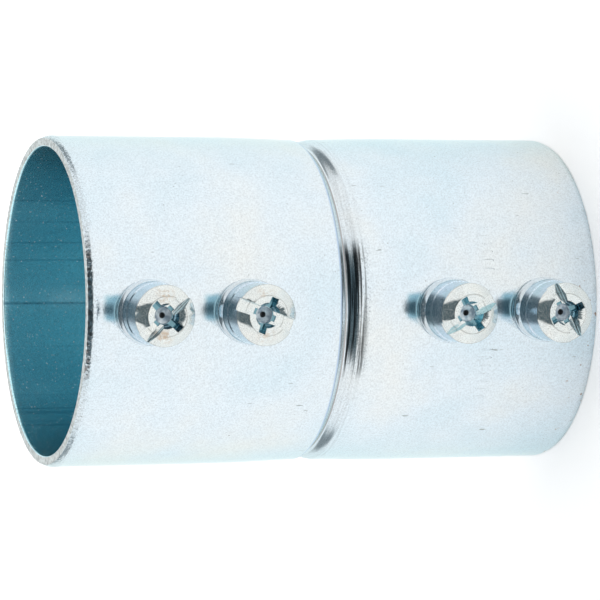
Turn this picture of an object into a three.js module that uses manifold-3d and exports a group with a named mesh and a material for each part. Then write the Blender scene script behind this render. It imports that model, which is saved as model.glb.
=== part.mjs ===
// Set-screw coupling for thin-wall steel conduit, trade size 1-1/2: one plated steel tube with a
// rolled groove half way along, and four combination-head set screws in a line, two to each end.
// Millimetres, +Z along the conduit. The coupling stands on its lower end, and the screws point to -Y.
import * as THREE from 'three';
import { mergeVertices } from 'three/addons/utils/BufferGeometryUtils.js';
import Module from 'manifold-3d';

// ---- driving dimensions ----
const CONDUIT_RADIUS = 22.1;      // 1.740 in conduit that slides into each end
const BORE_RADIUS = CONDUIT_RADIUS + 0.3;
const WALL = 1.6;
const OUTER_RADIUS = BORE_RADIUS + WALL;
const LENGTH = 77.0;
const EDGE_BREAK = 0.3;           // chamfer left by deburring both rims, inside and out

const GROOVE_DEPTH = 0.9;         // outside; the metal that is pushed in makes the conduit stop
const GROOVE_HALF_WIDTH = 1.6;
const STOP_HEIGHT = 1.0;
const STOP_HALF_WIDTH = 2.1;
const NECK_DEPTH = 0.3;           // rolling the groove also draws the tube in a little beside it
const NECK_SPREAD = 7.0;

const END_TO_SCREW = 8.7;         // from each rim to its outer screw
const SCREW_PITCH = 14.6;         // between the two screws of one end
const HOLE_RADIUS = 2.45;         // tapped number 10 hole, drawn at its thread's full radius
const SHANK_RADIUS = 2.15;
const SHANK_LENGTH = 6.35;
const SEAT_GAP = 0.15;            // flange's clearance over the tube when the screw is run in

const FLANGE_RADIUS = 4.65;       // washer face at the foot of the head
const FLANGE_EDGE = 1.25;         // height where the flange starts to slope in to the collar
const COLLAR_RADIUS = 4.4;
const COLLAR_FOOT = 1.7;
const COLLAR_HEIGHT = 3.65;
const UNDERCUT_RADIUS = 3.95;
const UNDERCUT_TOP = 4.0;
const HEAD_RADIUS = 4.3;
const HEAD_EDGE = 7.6;            // height where the straight side meets the crown
const CREST_RADIUS = 2.8;
const CREST_HEIGHT = 8.8;
const DISH_RADIUS = 1.6;          // inside the crest the crown dips towards the recess
const DISH_DEPTH = 0.45;

const SLOT_WIDTH = 1.8;
const SLOT_FLOOR = HEAD_EDGE - 0.6;  // the slot runs right across and notches the head's edge
const WING_WIDTH = 1.05;
const LONG_WING = 5.3;            // tip to tip, across the slot
const SHORT_WING = 4.0;           // tip to tip, along the slot
const WING_FLOOR = 6.7;
const SOCKET_RADIUS = 1.75;       // at the crown; the socket narrows to SOCKET_FOOT at its floor
const SOCKET_FOOT = 1.1;
const SOCKET_FLOOR = 6.3;

const TUBE_SIDES = 64;
const SCREW_SIDES = 32;
const HOLE_SIDES = 20;

const MIDDLE = LENGTH / 2;
const SCREW_REACH = OUTER_RADIUS + SEAT_GAP + CREST_HEIGHT;
// The origin is the middle of the footprint, so the conduit's axis lies behind it.
const AXIS_Y = (SCREW_REACH - OUTER_RADIUS) / 2;

// Screws from the top end down. Turn is how far each slot has been left turned from the tube's
// girth towards its axis, in degrees.
const SCREWS = [
  { name: 'upper_outer_screw', z: LENGTH - END_TO_SCREW, turn: -44.4 },
  { name: 'upper_inner_screw', z: LENGTH - END_TO_SCREW - SCREW_PITCH, turn: -111.8 },
  { name: 'lower_inner_screw', z: END_TO_SCREW + SCREW_PITCH, turn: -58.5 },
  { name: 'lower_outer_screw', z: END_TO_SCREW, turn: -153.1 },
];

const wasm = await Module();
wasm.setup();

// ---- helpers ----
function toSolid(geometry) {
  const bare = geometry.clone();
  bare.deleteAttribute('normal');
  bare.deleteAttribute('uv');
  const merged = mergeVertices(bare, 1e-4);
  const vertProperties = new Float32Array(merged.attributes.position.array);
  const triVerts = new Uint32Array(merged.index.array);
  return new wasm.Manifold(new wasm.Mesh({ numProp: 3, vertProperties, triVerts }));
}

function toGeometry(solid) {
  const mesh = solid.getMesh();
  const geometry = new THREE.BufferGeometry();
  geometry.setAttribute('position', new THREE.BufferAttribute(mesh.vertProperties, 3));
  geometry.setIndex(new THREE.BufferAttribute(mesh.triVerts, 1));
  const flat = geometry.toNonIndexed();
  flat.computeVertexNormals();
  return flat;
}

// A body of revolution about +Z from [radius, z] pairs that run up the outside.
function turned(points, sides) {
  const profile = points.map(([radius, z]) => new THREE.Vector2(radius, z));
  const geometry = new THREE.LatheGeometry(profile, sides);
  return geometry.rotateX(Math.PI / 2);
}

// A box whose floor is at z = floor and whose top clears the head.
function cutter(length, width, floor) {
  const height = CREST_HEIGHT + 1 - floor;
  const box = new THREE.BoxGeometry(length, width, height);
  return toSolid(box.translate(0, 0, floor + height / 2));
}

function steel(color, roughness) {
  return new THREE.MeshStandardMaterial({ color, roughness, metalness: 0.9 });
}

// ---- coupling body ----
const bump = (offset, halfWidth) =>
  Math.abs(offset) < halfWidth ? 0.5 + 0.5 * Math.cos((Math.PI * offset) / halfWidth) : 0;
const neck = (z) => NECK_DEPTH * Math.exp(-(((z - MIDDLE) / NECK_SPREAD) ** 2));
const outerRadius = (z) => OUTER_RADIUS - neck(z) - GROOVE_DEPTH * bump(z - MIDDLE, GROOVE_HALF_WIDTH);
const innerRadius = (z) => BORE_RADIUS - neck(z) - STOP_HEIGHT * bump(z - MIDDLE, STOP_HALF_WIDTH);

// Heights of the profile's points: close together in the groove, wide apart beside it.
function stations(halfWidth, steps) {
  const beside = [14, 8, 4.5];
  const inGroove = Array.from({ length: steps + 1 }, (_, i) => halfWidth * ((2 * i) / steps - 1));
  return [...beside.map((d) => MIDDLE - d), ...inGroove.map((d) => MIDDLE + d),
    ...beside.map((d) => MIDDLE + d).reverse()];
}

function tubeProfile() {
  const outside = stations(GROOVE_HALF_WIDTH, 6).map((z) => [outerRadius(z), z]);
  const inside = stations(STOP_HALF_WIDTH, 6).reverse().map((z) => [innerRadius(z), z]);
  const rim = (z, into) => [
    [BORE_RADIUS, z + into * EDGE_BREAK], [BORE_RADIUS + EDGE_BREAK, z],
    [OUTER_RADIUS - EDGE_BREAK, z], [OUTER_RADIUS, z + into * EDGE_BREAK],
  ];
  const bottom = rim(0, 1);
  const top = rim(LENGTH, -1).reverse();
  const loop = [...bottom, ...outside, ...top, ...inside];
  return [...loop, loop[0]];
}

function couplingBody() {
  const tube = toSolid(turned(tubeProfile(), TUBE_SIDES));
  return toGeometry(SCREWS.reduce((body, screw) => {
    const hole = new THREE.CylinderGeometry(HOLE_RADIUS, HOLE_RADIUS, 12, HOLE_SIDES);
    return body.subtract(toSolid(hole.translate(0, -OUTER_RADIUS, screw.z)));
  }, tube));
}

// ---- set screw, its axis along +Z and its collar's underside at z = 0 ----
function screwProfile() {
  return [
    [0, -SHANK_LENGTH], [SHANK_RADIUS - 0.6, -SHANK_LENGTH], [SHANK_RADIUS, 0.6 - SHANK_LENGTH],
    [SHANK_RADIUS, 0], [FLANGE_RADIUS - 0.15, 0], [FLANGE_RADIUS, 0.15],
    [FLANGE_RADIUS, FLANGE_EDGE], [COLLAR_RADIUS, COLLAR_FOOT],
    [COLLAR_RADIUS, COLLAR_HEIGHT], [UNDERCUT_RADIUS, COLLAR_HEIGHT],
    [UNDERCUT_RADIUS, UNDERCUT_TOP], [HEAD_RADIUS, UNDERCUT_TOP], [HEAD_RADIUS, HEAD_EDGE],
    [CREST_RADIUS, CREST_HEIGHT], [DISH_RADIUS, CREST_HEIGHT - DISH_DEPTH], [0, CREST_HEIGHT - DISH_DEPTH],
  ];
}

function setScrew() {
  const blank = toSolid(turned(screwProfile(), SCREW_SIDES));
  const socketHeight = CREST_HEIGHT + 1 - SOCKET_FLOOR;
  const slope = (SOCKET_RADIUS - SOCKET_FOOT) / (CREST_HEIGHT - SOCKET_FLOOR);
  const mouth = SOCKET_FOOT + slope * socketHeight;
  const socket = new THREE.CylinderGeometry(mouth, SOCKET_FOOT, socketHeight, HOLE_SIDES);
  socket.rotateX(Math.PI / 2).translate(0, 0, SOCKET_FLOOR + socketHeight / 2);
  const cuts = [
    cutter(3 * HEAD_RADIUS, SLOT_WIDTH, SLOT_FLOOR),
    cutter(SHORT_WING, WING_WIDTH, WING_FLOOR),
    cutter(WING_WIDTH, LONG_WING, WING_FLOOR),
    toSolid(socket),
  ];
  return toGeometry(cuts.reduce((screw, cut) => screw.subtract(cut), blank));
}

// ---- assembly ----
const group = new THREE.Group();
group.name = 'conduit_coupling';
group.position.y = AXIS_Y;

const body = new THREE.Mesh(couplingBody(), steel(0xdde8ee, 0.42));
body.name = 'coupling_body';
group.add(body);

for (const { name, z, turn } of SCREWS) {
  const screw = new THREE.Mesh(setScrew(), steel(0xc9d6e4, 0.22));
  screw.name = name;
  screw.position.set(0, -(OUTER_RADIUS + SEAT_GAP), z);
  screw.rotation.set(Math.PI / 2, 0, THREE.MathUtils.degToRad(turn));
  group.add(screw);
}

export default group;
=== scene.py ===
"""Set-screw conduit coupling: plated steel tube with a rolled groove, and four combination-head
screws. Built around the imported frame, in metres: +Z up the conduit, screws towards -Y."""

import math

import bmesh
import bpy
from mathutils import Matrix, Vector


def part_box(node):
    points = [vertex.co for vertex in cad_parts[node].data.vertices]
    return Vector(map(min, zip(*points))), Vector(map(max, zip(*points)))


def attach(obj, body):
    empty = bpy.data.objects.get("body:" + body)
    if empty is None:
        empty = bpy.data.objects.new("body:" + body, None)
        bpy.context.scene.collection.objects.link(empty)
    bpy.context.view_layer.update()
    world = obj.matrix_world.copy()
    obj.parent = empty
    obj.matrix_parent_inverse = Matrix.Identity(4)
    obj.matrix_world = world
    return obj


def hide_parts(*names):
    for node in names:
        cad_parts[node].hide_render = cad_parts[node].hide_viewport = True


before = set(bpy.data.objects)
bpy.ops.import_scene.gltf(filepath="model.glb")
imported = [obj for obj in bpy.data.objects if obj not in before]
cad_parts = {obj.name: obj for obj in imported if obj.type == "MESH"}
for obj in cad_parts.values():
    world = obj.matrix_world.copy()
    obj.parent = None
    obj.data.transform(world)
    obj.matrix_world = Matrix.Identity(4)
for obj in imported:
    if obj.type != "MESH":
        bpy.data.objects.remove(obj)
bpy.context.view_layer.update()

MM = 0.001

# ---- what the frame says ----
TUBE_LOW, TUBE_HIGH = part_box("coupling_body")
OUTER_RADIUS = (TUBE_HIGH.x - TUBE_LOW.x) / 2
LENGTH = TUBE_HIGH.z
MIDDLE = LENGTH / 2
AXIS_Y = (TUBE_LOW.y + TUBE_HIGH.y) / 2

# ---- coupling body ----
WALL = 1.6 * MM
BORE_RADIUS = OUTER_RADIUS - WALL
INNER_ROUND = 0.25 * MM
# Each rim's outer edge is worn to a narrow cone: how far in and how far down from the corner.
RIM_EDGE = [(0.45 * MM, 0.0), (0.37 * MM, 0.03 * MM), (0.32 * MM, 0.09 * MM), (0.07 * MM, 0.64 * MM),
            (0.03 * MM, 0.8 * MM), (0.0, 1.05 * MM)]
# The rolled groove: height above its bottom and depth. Its upper wall is the steep one.
GROOVE = [(-2.6 * MM, 0.0), (-2.1 * MM, 0.03 * MM), (-1.7 * MM, 0.09 * MM), (-1.35 * MM, 0.2 * MM),
          (-0.9 * MM, 0.44 * MM), (-0.5 * MM, 0.69 * MM), (-0.25 * MM, 0.83 * MM), (-0.1 * MM, 0.88 * MM),
          (0.1 * MM, 0.9 * MM), (0.25 * MM, 0.87 * MM), (0.4 * MM, 0.74 * MM), (0.75 * MM, 0.38 * MM),
          (1.04 * MM, 0.06 * MM), (1.12 * MM, 0.01 * MM), (1.2 * MM, 0.0)]
STOP_HEIGHT = 1.0 * MM
STOP_HALF_WIDTH = 2.1 * MM
NECK_DEPTH = 0.3 * MM
NECK_SPREAD = 7.0 * MM
HOLE_RADIUS = 2.45 * MM
THREAD_PITCH = 25.4 / 24 * MM    # number 10-24
TUBE_SEGMENTS = 288

# ---- set screw: heights are above the collar's underside ----
SHANK_LENGTH = 6.35 * MM
THREAD_CREST = 2.38 * MM
THREAD_ROOT = 1.86 * MM
FLANGE_RADIUS = 4.65 * MM        # the washer face the screw seats on
FLANGE_EDGE = 1.25 * MM
COLLAR_RADIUS = 4.4 * MM
COLLAR_FOOT = 1.7 * MM
COLLAR_HEIGHT = 3.65 * MM
UNDERCUT_RADIUS = 3.95 * MM
UNDERCUT_TOP = 4.0 * MM
HEAD_RADIUS = 4.3 * MM
HEAD_EDGE = 7.6 * MM
CREST_RADIUS = 2.8 * MM
CREST_HEIGHT = 8.8 * MM
DISH_RADIUS = 1.6 * MM
DISH_DEPTH = 0.45 * MM
SLOT_WIDTH = 1.8 * MM
SLOT_FLOOR = HEAD_EDGE - 0.6 * MM
LONG_WING = 5.3 * MM
SHORT_WING = 4.0 * MM
WING_WIDTH = 1.05 * MM
WING_FLOOR = 6.7 * MM
SOCKET_RADIUS = 1.75 * MM
SOCKET_FOOT = 1.08 * MM
SOCKET_FLOOR = 6.45 * MM
PIT_RADIUS = 0.42 * MM
SCREW_SEGMENTS = 96
EDGE_BREAK = 0.07 * MM
HOLE_THREAD_DEPTH = 0.28 * MM

# ---- studio, in degrees: the middle and half width of each dark patch, and how soft its edge is ----
OPENING_AZIMUTH = (0, 44, 4)
OPENING_ELEVATION = (44, 31, 3)
GAP_AZIMUTH = (130, 26, 5)
GAP_ELEVATION = (9.5, 6.5, 2.5)
GAP_DARKNESS = 0.85
OVERHEAD = (90, 25, 5)
DARK = (0.075, 0.11, 0.127, 1)

# How far each slot has been left turned from the tube's girth towards its axis, in degrees.
SCREW_TURNS = {
    "upper_outer_screw": -44.4,
    "upper_inner_screw": -111.8,
    "lower_inner_screw": -58.5,
    "lower_outer_screw": -153.1,
}
# How much painted shade darkens each slot's walls, and how much brown residue each face holds, both judged.
SLOT_PAINTED_SHADE = {
    "upper_outer_screw": 1.0,
    "upper_inner_screw": 0.5,
    "lower_inner_screw": 0.0,
    "lower_outer_screw": 0.9,
}
RESIDUE = {
    "upper_outer_screw": 1.0,
    "upper_inner_screw": 0.6,
    "lower_inner_screw": 0.0,
    "lower_outer_screw": 0.0,
}


# ---------------------------------------------------------------- mesh helpers
def arc(centre, radius, start, end, steps):
    """Points [radius from the axis, height] along an arc, angles in degrees."""
    points = []
    for i in range(steps + 1):
        a = math.radians(start + (end - start) * i / steps)
        points.append((centre[0] + radius * math.cos(a), centre[1] + radius * math.sin(a)))
    return points


def spread(low, high, steps):
    return [low + (high - low) * i / steps for i in range(steps + 1)]


def turned(name, profile, segments, closed, radius_at=None):
    """A body of revolution about +Z. A closed profile makes a ring, an open one starts and ends on
    the axis. radius_at(radius, height, angle) can move a point in or out, as a thread does."""
    mesh = bmesh.new()
    rings = []
    for radius, height in profile:
        if radius < 1e-9:
            rings.append([mesh.verts.new((0, 0, height))])
            continue
        ring = []
        for k in range(segments):
            a = 2 * math.pi * k / segments
            r = radius_at(radius, height, a) if radius_at else radius
            ring.append(mesh.verts.new((r * math.cos(a), r * math.sin(a), height)))
        rings.append(ring)
    pairs = list(zip(rings, rings[1:]))
    if closed:
        pairs.append((rings[-1], rings[0]))
    for low, high in pairs:
        for k in range(segments):
            n = (k + 1) % segments
            if len(low) == 1:
                mesh.faces.new((low[0], high[n], high[k]))
            elif len(high) == 1:
                mesh.faces.new((low[k], low[n], high[0]))
            else:
                mesh.faces.new((low[k], low[n], high[n], high[k]))
    bmesh.ops.recalc_face_normals(mesh, faces=mesh.faces)
    return as_object(name, mesh)


def as_object(name, mesh):
    data = bpy.data.meshes.new(name)
    mesh.to_mesh(data)
    mesh.free()
    piece = bpy.data.objects.new(name, data)
    bpy.context.scene.collection.objects.link(piece)
    return piece


def frustum(name, bottom, top, low, high):
    """A block that widens from bottom (length, width) at height low to top at height high."""
    mesh = bmesh.new()
    corners = []
    for (length, width), height in ((bottom, low), (top, high)):
        for sx, sy in ((-1, -1), (1, -1), (1, 1), (-1, 1)):
            corners.append(mesh.verts.new((sx * length / 2, sy * width / 2, height)))
    faces = [(3, 2, 1, 0), (4, 5, 6, 7), (0, 1, 5, 4), (1, 2, 6, 5), (2, 3, 7, 6), (3, 0, 4, 7)]
    for face in faces:
        mesh.faces.new([corners[i] for i in face])
    return as_object(name, mesh)


def bake_modifiers(piece):
    """Applies a piece's modifiers and gives it the finished mesh."""
    graph = bpy.context.evaluated_depsgraph_get()
    mesh = bpy.data.meshes.new_from_object(piece.evaluated_get(graph), depsgraph=graph)
    piece.modifiers.clear()
    piece.data = mesh
    return piece


def cut(piece, cutters):
    """Takes each cutter's shape out of the piece, then deletes the cutters."""
    for cutter in cutters:
        step = piece.modifiers.new("cut", "BOOLEAN")
        step.operation = "DIFFERENCE"
        step.solver = "EXACT"
        step.object = cutter
    bake_modifiers(piece)
    for cutter in cutters:
        bpy.data.objects.remove(cutter)
    return piece


def smooth_but_sharp(piece, angle=32):
    """Smooth shading, with the real edges kept crisp."""
    mesh = bmesh.new()
    mesh.from_mesh(piece.data)
    for face in mesh.faces:
        face.smooth = True
    for edge in mesh.edges:
        edge.smooth = not edge.is_manifold or edge.calc_face_angle(0) < math.radians(angle)
    mesh.to_mesh(piece.data)
    mesh.free()


# ---------------------------------------------------------------- coupling body
def hump(offset, half_width):
    if abs(offset) >= half_width:
        return 0.0
    return 0.5 + 0.5 * math.cos(math.pi * offset / half_width)


def neck(z):
    return NECK_DEPTH * math.exp(-(((z - MIDDLE) / NECK_SPREAD) ** 2))


def inner_radius(z):
    return BORE_RADIUS - neck(z) - STOP_HEIGHT * hump(z - MIDDLE, STOP_HALF_WIDTH)


def tube_profile():
    low, high = 1.2 * MM, LENGTH - 1.2 * MM
    below = spread(low, MIDDLE + GROOVE[0][0] - 0.4 * MM, 33)
    above = spread(MIDDLE + GROOVE[-1][0] + 0.4 * MM, high, 34)
    plain = lambda places: [(OUTER_RADIUS - neck(z), z) for z in places]
    groove = [(OUTER_RADIUS - neck(MIDDLE + h) - depth, MIDDLE + h) for h, depth in GROOVE]
    bead = spread(MIDDLE - STOP_HALF_WIDTH, MIDDLE + STOP_HALF_WIDTH, 28)
    inside = (spread(low, MIDDLE - STOP_HALF_WIDTH, 34)[:-1] + bead
              + spread(MIDDLE + STOP_HALF_WIDTH, high, 34)[1:])
    inner = BORE_RADIUS + INNER_ROUND
    return (
        arc((inner, INNER_ROUND), INNER_ROUND, 180, 270, 4)
        + [(OUTER_RADIUS - back, down) for back, down in RIM_EDGE]
        + plain(below) + groove + plain(above)
        + [(OUTER_RADIUS - back, LENGTH - down) for back, down in reversed(RIM_EDGE)]
        + arc((inner, LENGTH - INNER_ROUND), INNER_ROUND, 90, 180, 4)
        + [(inner_radius(z), z) for z in reversed(inside)]
    )


def tapped_hole(z):
    """The shape of one threaded hole through the front wall: chamfered mouths and thread grooves."""
    wall_in, wall_out = BORE_RADIUS, OUTER_RADIUS
    profile = [(0, wall_in - 3 * MM), (HOLE_RADIUS + 0.2 * MM, wall_in - 3 * MM),
               (HOLE_RADIUS + 0.2 * MM, wall_in - 0.05 * MM)]
    start = wall_in + 0.15 * MM
    while start + THREAD_PITCH / 2 < wall_out:
        profile.append((HOLE_RADIUS, start))
        profile.append((HOLE_RADIUS + HOLE_THREAD_DEPTH, start + THREAD_PITCH / 3))
        profile.append((HOLE_RADIUS, start + 2 * THREAD_PITCH / 3))
        start += THREAD_PITCH
    profile += [(HOLE_RADIUS, wall_out - 0.3 * MM), (HOLE_RADIUS + 0.4 * MM, wall_out + 0.1 * MM),
                (HOLE_RADIUS + 0.4 * MM, wall_out + 2 * MM), (0, wall_out + 2 * MM)]
    cutter = turned("hole_cutter", profile, 48, closed=False)
    cutter.matrix_world = Matrix.Translation((0, AXIS_Y, z)) @ Matrix.Rotation(math.pi / 2, 4, "X")
    return cutter


def coupling_body(screw_heights):
    tube = turned("coupling_tube", tube_profile(), TUBE_SEGMENTS, closed=True)
    tube.data.transform(Matrix.Translation((0, AXIS_Y, 0)))
    cut(tube, [tapped_hole(z) for z in screw_heights])
    smooth_but_sharp(tube)
    tube.data.materials.clear()
    for metal in (plated_tube_material(), plated_bore_material(), cut_edge_material()):
        tube.data.materials.append(metal)
    limit = BORE_RADIUS + 0.25 * MM
    for face in tube.data.polygons:
        x, y, z = face.center
        outwards = face.normal.dot(Vector((x, y - AXIS_Y, 0))) > 0
        if abs(face.normal.z) > 0.9 and not 0.1 * MM < z < LENGTH - 0.1 * MM:
            face.material_index = 2
        elif math.hypot(x, y - AXIS_Y) < limit and not (outwards and abs(z - MIDDLE) < STOP_HALF_WIDTH):
            face.material_index = 1
        else:
            face.material_index = 0
    return tube


# ---------------------------------------------------------------- set screws
def thread_radius(radius, height, angle):
    """Turns the shank's surface into a right-hand thread that fades out at the tip and the collar."""
    if height > -0.02 * MM or radius > 2.5 * MM or height < -SHANK_LENGTH + 0.02 * MM:
        return radius
    phase = (height / THREAD_PITCH - angle / (2 * math.pi)) % 1.0
    ridge = 1 - abs(2 * phase - 1)
    ridge = min(1.0, ridge * 1.25)
    full = THREAD_ROOT + (THREAD_CREST - THREAD_ROOT) * ridge
    tip = (height + SHANK_LENGTH) / (0.7 * MM)
    return min(full, 1.5 * MM + 0.7 * MM * min(tip, 1.0)) if tip < 1.3 else full


def screw_profile():
    shank = [(THREAD_ROOT, h) for h in spread(-SHANK_LENGTH + 0.04 * MM, -0.04 * MM, 84)]
    foot = 0.15 * MM
    dish_floor = CREST_HEIGHT - DISH_DEPTH
    return (
        [(0, -SHANK_LENGTH), (1.45 * MM, -SHANK_LENGTH)]
        + shank
        + [(THREAD_ROOT, 0)]
        + arc((FLANGE_RADIUS - foot, foot), foot, -90, 0, 4)
        + [(FLANGE_RADIUS, FLANGE_EDGE), (COLLAR_RADIUS + 0.03 * MM, COLLAR_FOOT)]
        + [(COLLAR_RADIUS, COLLAR_FOOT + 0.1 * MM), (COLLAR_RADIUS, COLLAR_HEIGHT)]
        + [(UNDERCUT_RADIUS, COLLAR_HEIGHT + 0.08 * MM), (UNDERCUT_RADIUS, UNDERCUT_TOP)]
        + [(HEAD_RADIUS, UNDERCUT_TOP), (HEAD_RADIUS, HEAD_EDGE)]
        + [(CREST_RADIUS, CREST_HEIGHT), (DISH_RADIUS, dish_floor), (0, dish_floor)]
    )


def drive_cutters():
    """Slot, cross wings, round socket and centre dimple of the combination drive."""
    above = CREST_HEIGHT + 1 * MM
    rise = (above - WING_FLOOR) / (CREST_HEIGHT - WING_FLOOR)

    def wing(name, length, turn):
        floor = (length * 0.8, WING_WIDTH * 0.8)
        mouth = (length, WING_WIDTH)
        top = [f + (m - f) * rise for f, m in zip(floor, mouth)]
        cutter = frustum(name, floor, top, WING_FLOOR, above)
        cutter.data.transform(Matrix.Rotation(turn, 4, "Z"))
        return cutter

    slot = frustum("slot", (12 * MM, SLOT_WIDTH), (12 * MM, SLOT_WIDTH), SLOT_FLOOR, above)
    slope = (SOCKET_RADIUS - SOCKET_FOOT) / (CREST_HEIGHT - DISH_DEPTH - SOCKET_FLOOR)
    socket_profile = [
        (0, SOCKET_FLOOR - 1.5 * MM), (PIT_RADIUS * 0.7, SOCKET_FLOOR - 1.2 * MM),
        (PIT_RADIUS, SOCKET_FLOOR - 0.3 * MM), (SOCKET_FOOT, SOCKET_FLOOR),
        (SOCKET_FOOT + slope * (above - SOCKET_FLOOR), above), (0, above)]
    socket = turned("socket", socket_profile, 48, closed=False)
    return [slot, wing("wing", SHORT_WING, 0), wing("wing", LONG_WING, math.pi / 2), socket]


def in_recess(face):
    """True on the walls and floors of the socket and wings, but not on the slot's flat floor."""
    x, y, z = face.center
    slot_floor = abs(z - SLOT_FLOOR) < 0.02 * MM and face.normal.z > 0.9
    near = math.hypot(x, y) < LONG_WING / 2 + 0.1 * MM
    top = CREST_HEIGHT - DISH_DEPTH * 1.05
    walls = near and SOCKET_FLOOR - 2 * MM < z < top and face.normal.z < 0.85
    floors = near and SOCKET_FLOOR - 2 * MM < z < SLOT_FLOOR - 0.05 * MM
    slot_wall = abs(abs(y) - SLOT_WIDTH / 2) < 0.02 * MM and abs(face.normal.y) > 0.9 and z > SLOT_FLOOR
    return (walls or floors or slot_wall) and not slot_floor


def set_screw(node, turn, metals):
    screw = turned(node + "_steel", screw_profile(), SCREW_SEGMENTS, False, thread_radius)
    cut(screw, drive_cutters())
    edges = screw.modifiers.new("edges", "BEVEL")
    edges.width = EDGE_BREAK
    edges.segments = 2
    edges.limit_method = "ANGLE"
    edges.angle_limit = math.radians(40)
    bake_modifiers(screw)
    screw.data.materials.clear()
    for metal in metals:
        screw.data.materials.append(metal)
    for face in screw.data.polygons:
        face.material_index = 1 if in_recess(face) else 0
    low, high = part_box(node)
    place = (0, low.y + CREST_HEIGHT, (low.z + high.z) / 2)
    screw.data.transform(
        Matrix.Translation(place)
        @ Matrix.Rotation(math.pi / 2, 4, "X")
        @ Matrix.Rotation(math.radians(turn), 4, "Z"))
    smooth_but_sharp(screw, 30)
    flats = screw.modifiers.new("flats", "WEIGHTED_NORMAL")
    flats.keep_sharp = True
    bake_modifiers(screw)
    screw["axis_z"] = place[2] / MM
    screw["slot_painted_shade"] = SLOT_PAINTED_SHADE[node]
    screw["residue"] = RESIDUE[node]
    return screw


# ---------------------------------------------------------------- materials
class Nodes:
    """Short names for the shader nodes that the plated metals share."""

    def __init__(self, name):
        self.material = bpy.data.materials.new(name)
        self.material.use_nodes = True
        self.tree = self.material.node_tree
        self.shader = self.tree.nodes["Principled BSDF"]
        coordinates = self.tree.nodes.new("ShaderNodeTexCoord")
        self.place = self.scaled(coordinates.outputs["Object"], (1 / MM,) * 3)

    def scaled(self, vector, scale, turn=(0, 0, 0)):
        node = self.tree.nodes.new("ShaderNodeMapping")
        node.inputs["Scale"].default_value = scale
        node.inputs["Rotation"].default_value = turn
        self.tree.links.new(vector, node.inputs["Vector"])
        return node.outputs["Vector"]

    def noise(self, scale, detail=2.0, stretch=(1, 1, 1), turn=(0, 0, 0), rough=0.5):
        """Noise with scale features to the millimetre."""
        node = self.tree.nodes.new("ShaderNodeTexNoise")
        node.inputs["Scale"].default_value = scale
        node.inputs["Detail"].default_value = detail
        node.inputs["Roughness"].default_value = rough
        self.tree.links.new(self.scaled(self.place, stretch, turn), node.inputs["Vector"])
        return node.outputs["Fac"]

    def ramp(self, value, stops):
        """Maps a value through (place, grey or colour) stops."""
        node = self.tree.nodes.new("ShaderNodeValToRGB")
        elements = node.color_ramp.elements
        while len(elements) < len(stops):
            elements.new(0.5)
        for element, (place, colour) in zip(elements, stops):
            element.position = place
            rgb = colour if isinstance(colour, tuple) else (colour,) * 3
            element.color = (*rgb, 1)
        self.tree.links.new(value, node.inputs["Fac"])
        return node.outputs["Color"]

    def mix(self, amount, a, b, blend="MIX"):
        node = self.tree.nodes.new("ShaderNodeMix")
        node.data_type = "RGBA"
        node.blend_type = blend
        for socket, value in ((node.inputs[0], amount), (node.inputs[6], a), (node.inputs[7], b)):
            if isinstance(value, bpy.types.NodeSocket):
                self.tree.links.new(value, socket)
            elif isinstance(value, tuple):
                socket.default_value = (*value, 1)
            else:
                socket.default_value = value
        return node.outputs[2]

    def math(self, operation, *values):
        node = self.tree.nodes.new("ShaderNodeMath")
        node.operation = operation
        for socket, value in zip(node.inputs, values):
            if isinstance(value, bpy.types.NodeSocket):
                self.tree.links.new(value, socket)
            else:
                socket.default_value = value
        return node.outputs["Value"]

    def fade(self, value, full, gone):
        """1 up to full, falling smoothly to 0 at gone."""
        node = self.tree.nodes.new("ShaderNodeMapRange")
        node.interpolation_type = "SMOOTHSTEP"
        for socket, number in (("From Min", full), ("From Max", gone), ("To Min", 1.0), ("To Max", 0.0)):
            node.inputs[socket].default_value = number
        self.tree.links.new(value, node.inputs["Value"])
        return node.outputs["Result"]

    def parts(self):
        """X, Y and Z in millimetres."""
        node = self.tree.nodes.new("ShaderNodeSeparateXYZ")
        self.tree.links.new(self.place, node.inputs["Vector"])
        return node.outputs

    def own(self, name):
        """One of the piece's own numbers."""
        node = self.tree.nodes.new("ShaderNodeAttribute")
        node.attribute_type = "OBJECT"
        node.attribute_name = name
        return node.outputs["Fac"]

    def line(self, value, centre, half_width):
        """1 where the value is at the centre, 0 half a width away."""
        away = self.math("ABSOLUTE", self.math("SUBTRACT", value, centre))
        return self.fade(away, half_width * 0.3, half_width)

    def bump(self, height, strength, distance, normal=None):
        node = self.tree.nodes.new("ShaderNodeBump")
        node.inputs["Strength"].default_value = strength
        node.inputs["Distance"].default_value = distance
        self.tree.links.new(height, node.inputs["Height"])
        if normal:
            self.tree.links.new(normal, node.inputs["Normal"])
        return node.outputs["Normal"]

    def set(self, socket, value):
        if isinstance(value, bpy.types.NodeSocket):
            self.tree.links.new(value, self.shader.inputs[socket])
        else:
            self.shader.inputs[socket].default_value = value


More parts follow.
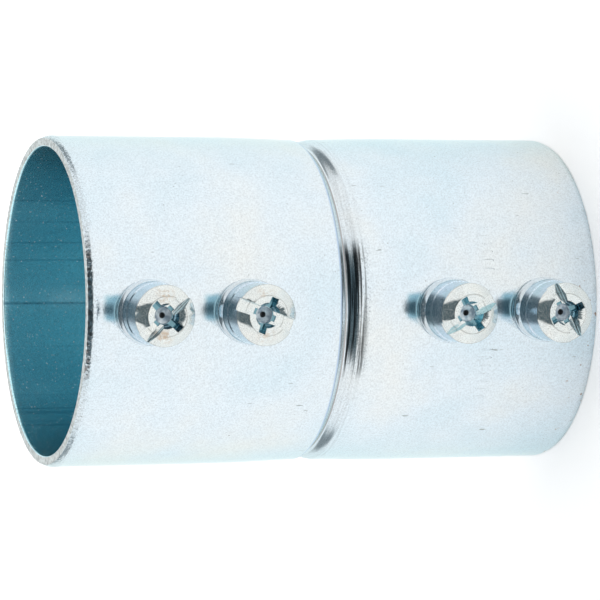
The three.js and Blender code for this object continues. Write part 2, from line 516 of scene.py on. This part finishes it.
def plated_tube_material():
    n = Nodes("plated_tube")
    n.set("Metallic", 1.0)
    n.set("Specular Tint", (0.80, 0.90, 0.90, 1))
    x, y, z = n.parts()
    from_middle = n.math("ABSOLUTE", n.math("SUBTRACT", z, MIDDLE / MM - 0.5))
    in_groove = n.fade(from_middle, 1.6, 2.8)
    to_end = n.math("SUBTRACT", MIDDLE / MM, n.math("ABSOLUTE", n.math("SUBTRACT", z, MIDDLE / MM)))
    near_rim = n.fade(to_end, 0.7, 1.8)

    above_groove = n.math("SUBTRACT", z, MIDDLE / MM)
    front = n.math("LESS_THAN", y, AXIS_Y / MM)
    front = n.math("MULTIPLY", front, n.fade(n.math("ABSOLUTE", x), 7.5, 11.0))
    upper_half = n.math("GREATER_THAN", above_groove, 0.0)

    mottle = n.ramp(n.noise(0.06, 5), [
        (0.3, (0.66, 0.785, 0.85)), (0.5, (0.735, 0.815, 0.865)), (0.72, (0.795, 0.82, 0.81))])
    grain = n.ramp(n.noise(4.5, 3), [(0.3, 0.80), (0.62, 1.0)])
    colour = n.mix(1.0, mottle, grain, "MULTIPLY")
    pits = n.ramp(n.noise(2.6, 3, turn=(0.4, 0.9, 0.2)), [(0.245, 1.0), (0.27, 0.0)])
    colour = n.mix(pits, colour, (0.30, 0.31, 0.30))
    scratches = n.noise(2.2, 2, stretch=(1, 1, 0.16), turn=(0.0, 0.9, 0.3))
    scratches = n.ramp(scratches, [(0.24, 1.0), (0.26, 0.0)])
    colour = n.mix(scratches, colour, (0.36, 0.40, 0.40))
    # Dark specks: just below the groove on the front they are a grainy painted reflection; near the upper rim
    # they are plain dark specks.
    specks = n.ramp(n.noise(5.5, 2, turn=(0.1, 0.5, 0.3)), [(0.56, 0.0), (0.64, 0.75)])
    below_groove = n.fade(n.math("ABSOLUTE", n.math("ADD", above_groove, 2.2)), 0.5, 1.6)
    upper_rim = n.math("MULTIPLY", near_rim, n.math("MULTIPLY", upper_half, 0.5))
    reflection_and_speck_zone = n.math("MAXIMUM", n.math("MULTIPLY", below_groove, front), upper_rim)
    colour = n.mix(n.math("MULTIPLY", specks, reflection_and_speck_zone), colour, (0.22, 0.27, 0.29))
    rust = n.ramp(n.noise(0.9, 4, turn=(0.7, 0.2, 0.1)), [(0.68, 0.0), (0.71, 0.8)])
    low_end = n.fade(z, 2.0, 5.0)
    colour = n.mix(n.math("MULTIPLY", rust, low_end), colour, (0.33, 0.19, 0.11))
    # Dark specks along both rims' worn edges, strongest on the front of the upper rim.
    rim_edge_specks = n.ramp(n.noise(1.6, 4, turn=(0.2, 0.7, 0.6)), [(0.42, 0.0), (0.60, 0.85)])
    rim_edge_specks = n.math("MULTIPLY", rim_edge_specks, n.math("MAXIMUM", n.math("MULTIPLY", front, upper_half), 0.15))
    colour = n.mix(n.math("MULTIPLY", rim_edge_specks, n.fade(to_end, 0.5, 0.9)), colour, (0.20, 0.18, 0.17))

    # The rolled groove: a lilac lip, a steep wall painted near white as a painted highlight, a brown line where
    # they rolled deepest.
    colour = n.mix(n.math("MULTIPLY", n.line(above_groove, 1.05, 0.32), 0.9), colour, (0.44, 0.55, 0.70))
    colour = n.mix(n.math("MULTIPLY", n.line(above_groove, 0.6, 0.42), 0.9), colour, (0.97, 0.98, 0.99))
    colour = n.mix(n.math("MULTIPLY", n.line(above_groove, 0.12, 0.17), 0.8), colour, (0.30, 0.27, 0.26))
    # Dark streaks painted across the front of the groove's lower wall are a painted reflection; the rolled bump
    # further on uses the same mask for real rolling marks.
    streaks = n.ramp(n.noise(3.2, 3, stretch=(0.03, 0.03, 1)), [(0.42, 0.12), (0.56, 1.0)])
    streaked = n.math("MULTIPLY", in_groove, n.math("MAXIMUM", front, 0.12))
    streaked = n.math("MULTIPLY", streaked, n.fade(above_groove, 0.0, 0.3))
    colour = n.mix(streaked, colour, n.mix(1.0, colour, streaks, "MULTIPLY"))
    # A painted reflection of each screw: a deeper blue patch on the tube above it.
    colour = n.mix(painted_screw_reflections(n, x, y, z), colour, (0.24, 0.47, 0.55))
    n.set("Base Color", colour)

    rough = n.ramp(n.noise(0.5, 5), [(0.3, 0.11), (0.7, 0.17)])
    n.set("Roughness", n.math("ADD", rough, n.math("MULTIPLY", in_groove, 0.05)))

    girth = n.math("MULTIPLY", n.math("ARCTAN2", x, n.math("SUBTRACT", AXIS_Y / MM, y)), OUTER_RADIUS / MM)
    normal = n.bump(n.noise(3.0, 2, stretch=(1, 1, 0.04)), 0.06, 0.02 * MM)
    normal = n.bump(n.noise(4.0, 3), 0.2, 0.02 * MM, normal)
    rolled = n.math("MULTIPLY", n.noise(3.2, 3, stretch=(0.04, 0.04, 1)), n.math("ADD", streaked, 0.05))
    normal = n.bump(rolled, 0.8, 0.05 * MM, normal)
    burrs = n.math("MULTIPLY", n.noise(2.4, 3), near_rim)
    normal = n.bump(burrs, 0.9, 0.09 * MM, normal)
    normal = n.bump(n.math("SUBTRACT", 1.0, tally_marks(n, girth, z)), 0.8, 0.06 * MM, normal)
    n.set("Normal", normal)
    return n.material


def painted_screw_reflections(n, x, y, z):
    """Where a painted reflection of each screw turns the tube a deeper blue above it, 1 at its darkest."""
    across = n.fade(n.math("ABSOLUTE", n.math("SUBTRACT", x, 0.6)), 1.3, 2.2)
    front = n.math("LESS_THAN", y, AXIS_Y / MM)
    above = 0.0
    for node in SCREW_TURNS:
        low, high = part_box(node)
        near = n.math("ABSOLUTE", n.math("SUBTRACT", z, ((low.z + high.z) / 2 + FLANGE_RADIUS) / MM))
        above = n.math("ADD", above, n.fade(near, 1.1, 2.2))
    return n.math("MULTIPLY", n.math("MULTIPLY", across, front), n.math("MULTIPLY", above, 0.75))


def tally_marks(n, girth, z):
    """Two rows of plain stamped strokes between the lower pair of screws, 1 on a stroke."""
    row = n.fade(n.math("ABSOLUTE", n.math("SUBTRACT", z, 17.0)), 0.75, 0.9)
    span = n.fade(n.math("ABSOLUTE", n.math("SUBTRACT", n.math("ABSOLUTE", girth), 9.5)), 4.6, 4.7)
    step = n.math("ABSOLUTE", n.math("SUBTRACT", n.math("FRACT", n.math("DIVIDE", girth, 1.3)), 0.5))
    stroke = n.fade(step, 0.05, 0.12)
    return n.math("MULTIPLY", n.math("MULTIPLY", row, span), stroke)


def plated_bore_material():
    """Inside, the plating is deep teal, with the tube's weld seam and fine lengthwise draw lines."""
    n = Nodes("plated_bore")
    x, y, _ = n.parts()
    colour = n.ramp(n.noise(0.2, 4, stretch=(1, 1, 0.1)), [
        (0.3, (0.55, 0.85, 0.92)), (0.7, (0.61, 0.90, 0.96))])
    grain = n.ramp(n.noise(3.5, 3), [(0.3, 0.84), (0.6, 1.0)])
    colour = n.mix(1.0, colour, grain, "MULTIPLY")
    drawn = n.ramp(n.noise(1.6, 1, stretch=(1, 1, 0.004)), [(0.32, 0.35), (0.37, 0.0)])
    seam = n.math("MULTIPLY", n.line(x, -1.8, 0.26), n.math("GREATER_THAN", y, AXIS_Y / MM))
    seam = n.math("MULTIPLY", seam, n.ramp(n.noise(1.0, 3), [(0.3, 0.5), (0.6, 0.9)]))
    colour = n.mix(n.math("MAXIMUM", drawn, seam), colour, (0.22, 0.42, 0.50))
    dust = n.ramp(n.noise(3.6, 2, turn=(0.6, 0.3, 0.9)), [(0.685, 0.0), (0.71, 0.8)])
    n.set("Base Color", n.mix(dust, colour, (0.85, 0.93, 0.95)))
    n.set("Metallic", n.math("SUBTRACT", 1.0, dust))
    n.set("Roughness", 0.22)
    n.set("Normal", n.bump(n.noise(3.0, 3), 0.1, 0.02 * MM))
    return n.material


def cut_edge_material():
    """The sawn and deburred end faces, plated over."""
    n = Nodes("cut_edge")
    n.set("Metallic", 1.0)
    n.set("Base Color", n.ramp(n.noise(2.5, 4), [(0.32, (0.28, 0.31, 0.31)), (0.62, (0.62, 0.68, 0.68))]))
    n.set("Roughness", n.ramp(n.noise(3.0, 3), [(0.3, 0.3), (0.7, 0.5)]))
    n.set("Normal", n.bump(n.noise(6.0, 3), 0.5, 0.04 * MM))
    return n.material


def screw_place(n):
    """Distance from the screw's axis and height above its flange's underside, in millimetres."""
    x, y, z = n.parts()
    out = n.math("SUBTRACT", z, n.own("axis_z"))
    radius = n.math("SQRT", n.math("ADD", n.math("MULTIPLY", x, x), n.math("MULTIPLY", out, out)))
    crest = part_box("upper_outer_screw")[0].y + CREST_HEIGHT
    return radius, n.math("SUBTRACT", crest / MM, y)


def plated_screw_material():
    n = Nodes("plated_screw")
    radius, height = screw_place(n)
    n.set("Specular Tint", (0.85, 0.92, 0.95, 1))
    sides = n.ramp(n.noise(0.35, 3), [(0.3, (0.60, 0.75, 0.82)), (0.7, (0.70, 0.79, 0.89))])
    # The flange is painted near white: a painted highlight.
    flange = n.fade(height, 1.6, 1.8)
    sides = n.mix(flange, sides, (0.92, 0.95, 0.98))
    crown = n.ramp(n.noise(0.5, 3), [(0.3, (0.71, 0.76, 0.76)), (0.7, (0.78, 0.80, 0.77))])
    on_side = n.fade(height, HEAD_EDGE / MM - 0.05, HEAD_EDGE / MM + 0.02)
    on_floor = n.line(height, SLOT_FLOOR / MM, 0.06)
    on_side = n.math("MULTIPLY", on_side, n.math("SUBTRACT", 1.0, on_floor))
    colour = n.mix(on_side, crown, sides)
    # Dark lines painted along the crest and the head's rim are painted shade.
    crest = n.line(radius, CREST_RADIUS / MM, 0.11)
    rim = n.line(radius, HEAD_RADIUS / MM, 0.10)
    lines = n.math("MULTIPLY", n.math("MAXIMUM", crest, rim), n.math("SUBTRACT", 1.0, on_side))
    lines = n.math("MULTIPLY", lines, n.ramp(n.noise(0.8, 3, turn=(0.5, 0.1, 0.8)), [(0.35, 0.35), (0.6, 0.8)]))
    colour = n.mix(lines, colour, (0.36, 0.37, 0.35))
    x, _, z = n.parts()
    grime = n.noise(1.1, 6, turn=(0.2, 0.1, 0.5), rough=0.7)
    grime = n.ramp(grime, [(0.46, 0.0), (0.58, 0.75)])
    across_crest = n.line(n.math("ABSOLUTE", x), CREST_RADIUS / MM, 1.3)
    out = n.math("SUBTRACT", z, n.own("axis_z"))
    across_crest = n.math("MULTIPLY", across_crest, n.line(out, 0.2, 1.6))
    grime = n.math("MULTIPLY", n.math("MULTIPLY", grime, across_crest), n.own("residue"))
    grime = n.math("MULTIPLY", grime, n.math("SUBTRACT", 1.0, on_side))
    colour = n.mix(grime, colour, (0.50, 0.36, 0.24))
    grain = n.ramp(n.noise(5.0, 3), [(0.3, 0.88), (0.62, 1.0)])
    n.set("Base Color", n.mix(1.0, colour, grain, "MULTIPLY"))
    # The flange's edge is shaded as less than fully metal away from its middle, to make it pale: a painted
    # highlight.
    off_middle = n.math("SUBTRACT", 1.0, n.fade(n.math("ABSOLUTE", x), 1.4, 2.6))
    crescent = n.math("MULTIPLY", flange, off_middle)
    metal = n.ramp(n.noise(7.0, 2, turn=(0.3, 0.6, 0.2)), [(0.45, 1.0), (0.62, 0.72)])
    n.set("Metallic", n.math("MULTIPLY", metal, n.math("SUBTRACT", 1.0, n.math("MULTIPLY", crescent, 0.3))))
    n.set("Roughness", n.ramp(n.noise(1.2, 4), [(0.3, 0.08), (0.7, 0.14)]))
    n.set("Normal", n.bump(n.noise(3.5, 4), 0.14, 0.02 * MM))
    return n.material


def plated_recess_material():
    """Teal walls, with painted shade darkening some slots and the wings' floors; a pale ring of painted light
    round the pit, painted shade inside it.
    """
    n = Nodes("plated_recess")
    radius, height = screw_place(n)
    walls = n.ramp(n.noise(0.9, 3), [(0.3, (0.30, 0.57, 0.65)), (0.7, (0.48, 0.73, 0.79))])
    in_slot = n.fade(n.math("SUBTRACT", SLOT_FLOOR / MM, height), -0.02, 0.02)
    # The slot's walls get painted shade in dark stripes, with a pale painted highlight stripe above the slot
    # floor.
    striped = n.ramp(n.noise(1.1, 3, stretch=(1, 3, 1)), [
        (0.40, (0.03, 0.06, 0.08)), (0.62, (0.12, 0.25, 0.31))])
    striped = n.mix(n.line(height, SLOT_FLOOR / MM + 0.55, 0.22), striped, (0.62, 0.85, 0.95))
    walls = n.mix(n.math("MULTIPLY", in_slot, n.own("slot_painted_shade")), walls, striped)
    # The wings' floors are darkened with painted shade.
    walls = n.mix(n.line(height, WING_FLOOR / MM, 0.14), walls, (0.17, 0.31, 0.36))
    # The pale cloudy ring round the pit is painted light, and is shaded as less than fully metal.
    foot = n.fade(radius, (SOCKET_FOOT + 0.02 * MM) / MM, (SOCKET_FOOT + 0.2 * MM) / MM)
    cloudy = n.ramp(n.noise(1.3, 2, turn=(0.4, 0.2, 0.7)), [
        (0.40, (0.42, 0.50, 0.58)), (0.62, (0.92, 0.97, 1.0))])
    colour = n.mix(foot, walls, cloudy)
    # Inside the pit the colour is painted shade.
    pit = n.fade(height, (SOCKET_FLOOR - 0.35 * MM) / MM, (SOCKET_FLOOR - 0.28 * MM) / MM)
    n.set("Base Color", n.mix(pit, colour, (0.13, 0.14, 0.15)))
    n.set("Metallic", n.math("SUBTRACT", 1.0, n.math("MULTIPLY", foot, 0.8)))
    n.set("Roughness", n.ramp(n.noise(1.2, 4), [(0.3, 0.16), (0.7, 0.26)]))
    n.set("Normal", n.bump(n.noise(3.5, 3), 0.15, 0.02 * MM))
    return n.material


# ---------------------------------------------------------------- studio
def studio_light():
    """A white tent, with the dark opening in front and the low dark gaps beside it that the metal mirrors."""
    world = bpy.data.worlds.new("studio")
    bpy.context.scene.world = world
    world.use_nodes = True
    tree = world.node_tree

    def math_node(operation, *values):
        node = tree.nodes.new("ShaderNodeMath")
        node.operation = operation
        for socket, value in zip(node.inputs, values):
            if isinstance(value, bpy.types.NodeSocket):
                tree.links.new(value, socket)
            else:
                socket.default_value = value
        return node.outputs["Value"]

    def within(angle, patch):
        """1 inside the patch (middle, half width, softness) and 0 outside."""
        middle, half_width, soft = patch
        node = tree.nodes.new("ShaderNodeMapRange")
        node.interpolation_type = "SMOOTHSTEP"
        node.inputs["From Min"].default_value = math.radians(half_width - soft)
        node.inputs["From Max"].default_value = math.radians(half_width + soft)
        node.inputs["To Min"].default_value = 1.0
        node.inputs["To Max"].default_value = 0.0
        away = math_node("ABSOLUTE", math_node("SUBTRACT", angle, math.radians(middle)))
        tree.links.new(away, node.inputs["Value"])
        return node.outputs["Result"]

    split = tree.nodes.new("ShaderNodeSeparateXYZ")
    tree.links.new(tree.nodes.new("ShaderNodeTexCoord").outputs["Generated"], split.inputs["Vector"])
    azimuth = math_node("ARCTAN2", split.outputs["X"], math_node("MULTIPLY", split.outputs["Y"], -1.0))
    elevation = math_node("ARCSINE", split.outputs["Z"])
    opening = math_node("MULTIPLY", within(azimuth, OPENING_AZIMUTH), within(elevation, OPENING_ELEVATION))
    beside = within(math_node("ABSOLUTE", azimuth), GAP_AZIMUTH)
    gaps = math_node("MULTIPLY", math_node("MULTIPLY", beside, within(elevation, GAP_ELEVATION)), GAP_DARKNESS)
    opening = math_node("MAXIMUM", opening, gaps)
    ramp = tree.nodes.new("ShaderNodeValToRGB")
    ramp.color_ramp.elements[0].color = (1, 1, 1, 1)
    ramp.color_ramp.elements[1].color = DARK
    tree.links.new(opening, ramp.inputs["Fac"])
    background = tree.nodes["Background"]
    overhead = math_node("MULTIPLY", within(elevation, OVERHEAD), 0.5)
    tree.links.new(math_node("ADD", overhead, 1.1), background.inputs["Strength"])
    tree.links.new(ramp.outputs["Color"], background.inputs["Color"])


def floor():
    mesh = bmesh.new()
    bmesh.ops.create_circle(mesh, cap_ends=True, segments=96, radius=3.0)
    plane = as_object("floor", mesh)
    n = Nodes("pale_floor")
    n.set("Base Color", n.ramp(n.noise(0.02, 2), [(0.3, 0.93), (0.7, 0.95)]))
    n.set("Roughness", 0.8)
    n.set("Emission Color", (1, 1, 1, 1))
    n.set("Emission Strength", 0.28)
    plane.data.materials.append(n.material)


def camera():
    """Looks down 20 degrees at the screws' side, and is rolled so that the tube lies across the picture."""
    distance = 503.9 * MM
    elevation, azimuth, roll = math.radians(19.52), math.radians(3.86), math.radians(0.90)
    target = Vector((-0.05 * MM, AXIS_Y - 0.32 * MM, MIDDLE - 0.89 * MM))
    back = Vector((math.sin(azimuth) * math.cos(elevation),
                   -math.cos(azimuth) * math.cos(elevation), math.sin(elevation)))
    up = Vector((1, 0, 0))
    up = (up - up.dot(back) * back).normalized()
    up = Matrix.Rotation(roll, 3, back) @ up
    right = up.cross(back)
    data = bpy.data.cameras.new("camera")
    data.lens = 203.6
    data.sensor_width = 36
    view = bpy.data.objects.new("camera", data)
    axes = Matrix((right, up, back)).transposed()
    view.matrix_world = Matrix.Translation(target + back * distance) @ axes.to_4x4()
    bpy.context.scene.collection.objects.link(view)
    bpy.context.scene.camera = view


# ---------------------------------------------------------------- assembly
camera()
studio_light()
floor()
bpy.context.scene.view_settings.view_transform = "Standard"
bpy.context.scene.cycles.glossy_bounces = 8

screw_places = [sum((corner.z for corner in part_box(node)), 0.0) / 2 for node in SCREW_TURNS]
tube = coupling_body(screw_places)
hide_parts("coupling_body")
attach(tube, "coupling")

screw_metals = (plated_screw_material(), plated_recess_material())
for node, turn in SCREW_TURNS.items():
    screw = set_screw(node, turn, screw_metals)
    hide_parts(node)
    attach(screw, node + "_body")
